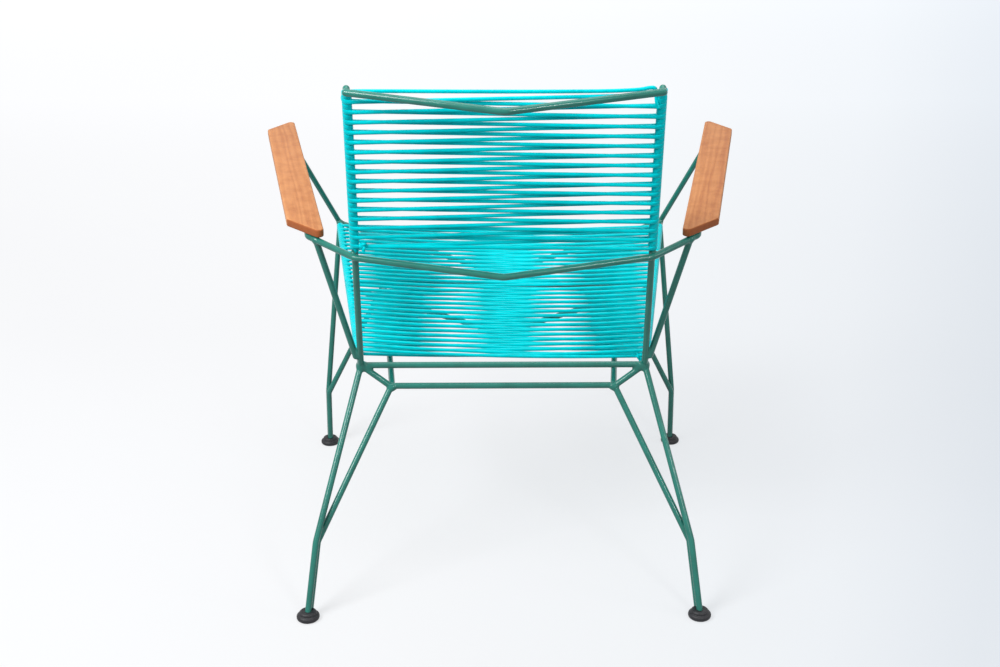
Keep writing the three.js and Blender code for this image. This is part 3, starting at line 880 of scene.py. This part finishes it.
woodValues = {
    "colour": (0.585, 0.245, 0.093),
    "light": (0.66, 0.300, 0.122),
    "dark": (0.455, 0.162, 0.06),
    "endGrain": (0.34, 0.088, 0.025),
    "ringScale": 30.0,
    "ringDistortion": 11.0,
    "warpScale": 30.0,
    "fibreScale": 900.0,
    "poreScale": 1500.0,
    "blotchScale": 34.0,
    "toneShares": (0.14, 0.5, 0.42),  # of the rings, the warp and the fibre
    "roughness": (0.42, 0.6),
    "specular": 0.2,
    "fibreDepth": 0.00008,  # metres, as poreDepth is
    "poreDepth": 0.00012,
}


def woodMaterial(values, name, sign):
    nodes = Nodes(name)
    tilt, splay = math.radians(padValues["tiltDegrees"]), math.radians(padValues["splayDegrees"])
    turn = nodes.add("ShaderNodeMapping", vector_type="TEXTURE")
    start = [sign * padValues["place"][0] * mm, padValues["place"][1] * mm, padValues["place"][2] * mm]
    nodes.fill(turn, {"Vector": nodes.place, "Location": start, "Rotation": (-tilt, 0, sign * splay)})
    board = turn.outputs["Vector"]
    grainPlace = nodes.scaled((1.0, 0.06, 1.0), board)
    warp = nodes.noise(values["warpScale"], 3.0, 0.5, grainPlace)
    rings = nodes.add("ShaderNodeTexWave", wave_type="BANDS", bands_direction="X", wave_profile="SIN")
    nodes.fill(rings, {
        "Vector": grainPlace,
        "Scale": values["ringScale"],
        "Distortion": values["ringDistortion"],
        "Detail": 3.0,
        "Detail Scale": 1.5,
    })
    fibre = nodes.noise(values["fibreScale"], 3.0, 0.6, grainPlace)
    pores = nodes.noise(values["poreScale"], 1.0, 0.5, nodes.scaled((1.0, 0.12, 1.0), board))
    blotch = nodes.noise(values["blotchScale"], 4.0, 0.6, board)
    ringShare, warpShare, fibreShare = values["toneShares"]
    tone = nodes.plus(nodes.times(rings.outputs["Fac"], ringShare), nodes.times(warp, warpShare))
    tone = nodes.plus(tone, nodes.times(fibre, fibreShare))
    base = nodes.ramp(tone, [(0.36, values["dark"]), (0.56, values["colour"]), (0.74, values["light"])])
    shade = nodes.ramp(blotch, [(0.32, (0.84, 0.77, 0.74)), (0.58, (1.0, 1.0, 1.0))])
    base = nodes.mixed(1.0, base, shade, "MULTIPLY")
    poreMask = nodes.mapped(pores, 0.66, 0.74, 0.0, 0.55)
    base = nodes.mixed(poreMask, base, values["dark"])
    facing = nodes.add("ShaderNodeVectorMath", operation="DOT_PRODUCT")
    coordinates = nodes.add("ShaderNodeTexCoord")
    grainWay = (-sign * math.sin(splay), math.cos(splay), 0)
    nodes.fill(facing, {0: coordinates.outputs["Normal"], 1: grainWay})
    endShare = nodes.times(facing.outputs["Value"], facing.outputs["Value"])
    endShare = nodes.mapped(endShare, 0.1, 0.26, 0.0, 0.85)
    base = nodes.mixed(endShare, base, values["endGrain"])
    rough = nodes.mapped(fibre, 0.3, 0.7, *values["roughness"])
    nodes.fill(nodes.shader, {"Base Color": base, "Roughness": rough, "Specular IOR Level": values["specular"]})
    nodes.bump(nodes.plus(nodes.times(fibre, values["fibreDepth"]), nodes.times(poreMask, -values["poreDepth"])))
    return nodes.material


def padOutline(values, inset):
    corners = np.array([
        (0, 0),
        (0, -values["length"]),
        (values["width"], values["frontMitre"] - values["length"]),
        (values["width"], -values["rearMitre"]),
    ], float)
    moved = []
    for i, corner in enumerate(corners):
        before = unit(corners[i - 1] - corner)
        after = unit(corners[(i + 1) % 4] - corner)
        half = math.acos(float(np.dot(before, after))) / 2
        moved.append(corner + unit(before + after) * inset / math.sin(half))
    radius = max(0.5, values["cornerRadius"] - inset)
    outline = []
    for i in range(4):
        before, corner, after = moved[i - 1], moved[i], moved[(i + 1) % 4]
        flat = [(*point, 0.0) for point in (before, corner, after)]
        outline += roundedRoute(flat, radius, 9)[1:-1].tolist()
    return outline


def padMesh(values):
    edge, depth, steps = values["edgeRound"], values["thickness"], values["edgeSteps"]
    rings = []
    for i in range(steps + 1):
        angle = math.pi / 2 * i / steps
        ring = np.array(padOutline(values, edge * (1 - math.sin(angle))))
        ring[:, 2] = -edge * (1 - math.cos(angle))
        rings.append(ring)
    for i in range(steps + 1):
        angle = math.pi / 2 * i / steps
        ring = np.array(padOutline(values, edge * (1 - math.cos(angle))))
        ring[:, 2] = -depth + edge * (1 - math.sin(angle))
        rings.append(ring)
    return ringsMesh(rings[::-1])


def turnOf(values):
    tilt = Matrix.Rotation(-math.radians(values["tiltDegrees"]), 3, "X")
    splay = Matrix.Rotation(math.radians(values["splayDegrees"]), 3, "Z")
    return np.array(splay @ tilt)


padTurn = turnOf(padValues)
padPoints, padFaces = padMesh(padValues)
padLeft = (padPoints @ padTurn.T + np.array(padValues["place"]), padFaces)
for side, mesh, sign in (("left", padLeft, 1), ("right", mirroredMesh(padLeft), -1)):
    piece = addMesh(f"arm_pad_{side}_board", *mesh, woodMaterial(woodValues, f"oiled_wood_{side}", sign))
    sharpen(piece, 50)
    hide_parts(f"arm_pad_{side}")
print("arm pads made")

# Screws under the loop rod: low domed heads with a six-sided socket

screwValues = {
    "places": [(291.93, 100.6, 546.75), (357.32, -254.17, 572.6)],
    "headRadius": 4,
    "headHeight": 2.6,
    "socketRadius": 1.5,
    "socketDepth": 1.4,
}

steelValues = {
    "colour": (0.56, 0.57, 0.58),
    "darker": (0.40, 0.41, 0.42),
    "roughness": (0.22, 0.4),
    "grainScale": 1800.0,
    "grainDepth": 0.00002,  # metres
}


def steelMaterial(values):
    nodes = Nodes("screw_steel_brushed")
    fine = nodes.noise(values["grainScale"], 2.0)
    colour = nodes.ramp(fine, [(0.3, values["darker"]), (0.7, values["colour"])])
    rough = nodes.mapped(fine, 0.3, 0.7, *values["roughness"])
    nodes.fill(nodes.shader, {"Base Color": colour, "Metallic": 1.0, "Roughness": rough})
    nodes.bump(nodes.times(fine, values["grainDepth"]))
    return nodes.material


steel = steelMaterial(steelValues)


def screwMesh(values):
    radius, height = values["headRadius"], values["headHeight"]
    top = -rodRadius + 0.6
    profile = [(0.2, top), (radius * 0.97, top), (radius, top - 0.5)]
    for i in range(1, 7):
        angle = math.pi / 2 * i / 7
        profile.append((radius * math.cos(angle * 0.75), -rodRadius - 0.3 - height * math.sin(angle)))
    bottom = -rodRadius - 0.3 - height
    socket, floor = values["socketRadius"], bottom + values["socketDepth"]
    profile += [(socket, bottom), (socket, floor), (0.15, floor + 0.5)]
    count = len(profile)

    def hexShare(number, angles):
        if number < count - 3:
            return 1
        return math.cos(math.pi / 6) / np.cos((angles % (math.pi / 3)) - math.pi / 6)

    points, faces = turnedMesh(profile, 36, hexShare)
    return points, [face[::-1] for face in faces]


screwPoints, screwFaces = screwMesh(screwValues)
for number, place in enumerate(screwValues["places"], 1):
    head = (screwPoints @ padTurn.T + np.array(place), screwFaces)
    for side, mesh in (("left", head), ("right", mirroredMesh(head))):
        piece = addMesh(f"pad_screw_{number}_{side}_head", *mesh, steel)
        sharpen(piece, 35)
        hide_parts(f"pad_screw_{number}_{side}")
print("screws made")

# Rubber feet

footValues = {
    "places": {"rear": (289.5, 310.66), "front": (319.7, -291.34)},
    "profile": [
        (0.3, 0.6), (11.5, 0.6), (12.0, 0.0), (13.6, 0.0), (15.2, 0.5), (16.4, 1.7), (17.0, 3.4), (17.0, 5.2),
        (16.6, 6.6), (15.6, 7.8), (14.4, 8.5), (13.5, 8.8), (13.2, 9.1), (13.2, 9.6), (13.1, 10.6), (12.5, 11.9),
        (11.5, 12.9), (10.3, 13.4), (9.0, 13.5), (7.0, 13.3), (0.3, 13.1),
    ],
}

rubberValues = {
    "colour": (0.02, 0.02, 0.024),
    "darker": (0.006, 0.006, 0.008),
    "roughness": (0.42, 0.62),
    "specular": 0.4,
    "patchScale": 120.0,
    "grainScale": 1600.0,
    "grainDepth": 0.00008,  # metres
}


def rubberMaterial(values):
    nodes = Nodes("black_rubber")
    broad = nodes.noise(values["patchScale"], 4.0, 0.6)
    fine = nodes.noise(values["grainScale"], 3.0, 0.6)
    colour = nodes.ramp(broad, [(0.3, values["darker"]), (0.7, values["colour"])])
    rough = nodes.mapped(broad, 0.3, 0.7, *values["roughness"])
    nodes.fill(nodes.shader, {"Base Color": colour, "Roughness": rough, "Specular IOR Level": values["specular"]})
    nodes.bump(nodes.times(fine, values["grainDepth"]))
    return nodes.material


rubber = rubberMaterial(rubberValues)
footPoints, footFaces = turnedMesh(footValues["profile"], 48)
for name, (x, y) in footValues["places"].items():
    mesh = (footPoints + np.array((x, y, 0)), footFaces)
    for side, sideMesh in (("left", mesh), ("right", mirroredMesh(mesh))):
        piece = addMesh(f"{name}_foot_{side}_cap", *sideMesh, rubber)
        sharpen(piece, 50)
        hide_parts(f"{name}_foot_{side}")
print("feet made")

# Floor, world and lamps

lightValues = {
    "worldColour": (0.95, 0.97, 1.0, 1),
    "worldStrength": 0.24,
    "floorHalf": 14000,
    "floorLit": (0.90, 0.91, 0.93),
    "floorBounce": (0.26, 0.27, 0.28),
    "floorGlow": 0.74,  # share of its look that doesn't come from the lamps
    # the glow's colour by X over the distance behind acrossFrom, which is a Y in metres: painted shade, greyer and
    # bluer towards -X, away from the key lamp
    "acrossFrom": 2.08,
    "floorPaintedShadeAcross": [
        (-0.40, (0.78, 0.83, 0.89)), (-0.27, (0.89, 0.925, 0.965)),
        (-0.12, (0.94, 0.96, 0.985)), (0.1, (0.98, 0.985, 1.0)),
    ],
    # the glow's strength by Y in metres, from -7 to 1: painted light, stronger further back where the lamps light
    # the floor less, weaker near the camera where they light it most
    "floorPaintedLightAway": [(-6.6, 1.32), (-3.5, 1.24), (-2.0, 1.12), (-0.9, 1.01), (-0.2, 0.96), (0.45, 0.91)],
    "glowMost": 1.4,
    "lamps": [
        # name, place, aim, size, watts
        ("key", (1750, 1400, 2200), (0, 0, 350), 1300, 74),
        ("glint", (-1150, 2110, 1760), (0, 300, 600), 420, 14),
        ("top", (-100, -100, 3000), (0, 0, 300), 1900, 30),
        ("side", (-2200, 700, 1300), (0, 0, 400), 500, 4),
    ],
}


# 1 for rays from the camera and for those that a piece mirrors or lets through, 0 for the others.
def seenRay(tree):
    path = tree.nodes.new("ShaderNodeLightPath")
    shown = path.outputs["Is Camera Ray"]
    for kind in ("Is Glossy Ray", "Is Transmission Ray"):
        most = tree.nodes.new("ShaderNodeMath")
        most.operation = "MAXIMUM"
        tree.links.new(shown, most.inputs[0])
        tree.links.new(path.outputs[kind], most.inputs[1])
        shown = most.outputs[0]
    return shown


# A floor that looks pale and keeps the shadows, but throws only part of the light back up.
def addFloor(values):
    half, most = values["floorHalf"], values["glowMost"]
    points = [(-half, -half, 0), (half, -half, 0), (half, half, 0), (-half, half, 0)]
    nodes = Nodes("pale_floor")
    nodes.tree.nodes.remove(nodes.shader)
    lit = nodes.fill(nodes.add("ShaderNodeBsdfDiffuse"), {"Color": (*values["floorLit"], 1)})
    bounce = nodes.fill(nodes.add("ShaderNodeBsdfDiffuse"), {"Color": (*values["floorBounce"], 1)})
    split = nodes.add("ShaderNodeSeparateXYZ")
    nodes.link(nodes.place, split.inputs[0])
    depth = nodes.worked("SUBTRACT", values["acrossFrom"], split.outputs["Y"])
    side = nodes.mapped(nodes.worked("DIVIDE", split.outputs["X"], depth), -0.5, 0.5, 0.0, 1.0)
    # The glow's colour is painted shade: greyer and bluer towards -X, the side away from the key lamp.
    pale = nodes.ramp(side, [(place + 0.5, colour) for place, colour in values["floorPaintedShadeAcross"]])
    away = nodes.mapped(split.outputs["Y"], -7.0, 1.0, 0.0, 1.0)
    # The glow's strength is painted light: stronger further back, where the lamps light the floor less.
    level = nodes.ramp(away, [((place + 7) / 8, (share / most,) * 3) for place, share in values["floorPaintedLightAway"]])
    glow = nodes.fill(nodes.add("ShaderNodeEmission"), {"Color": pale, "Strength": nodes.times(level, most)})
    seen = nodes.add("ShaderNodeMixShader")
    nodes.fill(seen, {0: 1 - values["floorGlow"], 1: glow.outputs[0], 2: lit.outputs[0]})
    whole = nodes.add("ShaderNodeMixShader")
    nodes.fill(whole, {0: seenRay(nodes.tree), 1: bounce.outputs[0], 2: seen.outputs[0]})
    nodes.link(whole.outputs[0], nodes.tree.nodes["Material Output"].inputs["Surface"])
    mesh = bpy.data.meshes.new("floor")
    mesh.from_pydata((np.array(points) * mm).tolist(), [], [(0, 1, 2, 3)])
    mesh.materials.append(nodes.material)
    floor = bpy.data.objects.new("floor", mesh)
    scene.collection.objects.link(floor)


def addWorld(values):
    world = bpy.data.worlds.new("studio")
    scene.world = world
    world.use_nodes = True
    tree = world.node_tree
    plain = tree.nodes["Background"]
    plain.inputs["Color"].default_value = values["worldColour"]
    plain.inputs["Strength"].default_value = values["worldStrength"]
    white = tree.nodes.new("ShaderNodeBackground")
    white.inputs["Color"].default_value = (1, 1, 1, 1)
    white.inputs["Strength"].default_value = 1.0
    mix = tree.nodes.new("ShaderNodeMixShader")
    tree.links.new(seenRay(tree), mix.inputs[0])
    tree.links.new(plain.outputs[0], mix.inputs[1])
    tree.links.new(white.outputs[0], mix.inputs[2])
    tree.links.new(mix.outputs[0], tree.nodes["World Output"].inputs[0])


def addLamps(values):
    for name, place, aim, size, watts in values["lamps"]:
        data = bpy.data.lights.new(name, "AREA")
        data.shape = "SQUARE"
        data.size = size * mm
        data.energy = watts
        lamp = bpy.data.objects.new(name, data)
        lamp.location = Vector(place) * mm
        way = Vector(aim) - Vector(place)
        lamp.rotation_mode = "QUATERNION"
        lamp.rotation_quaternion = way.to_track_quat("-Z", "Y")
        scene.collection.objects.link(lamp)


addFloor(lightValues)
addWorld(lightValues)
addLamps(lightValues)
scene.view_settings.view_transform = "Standard"
print("floor and lights made")
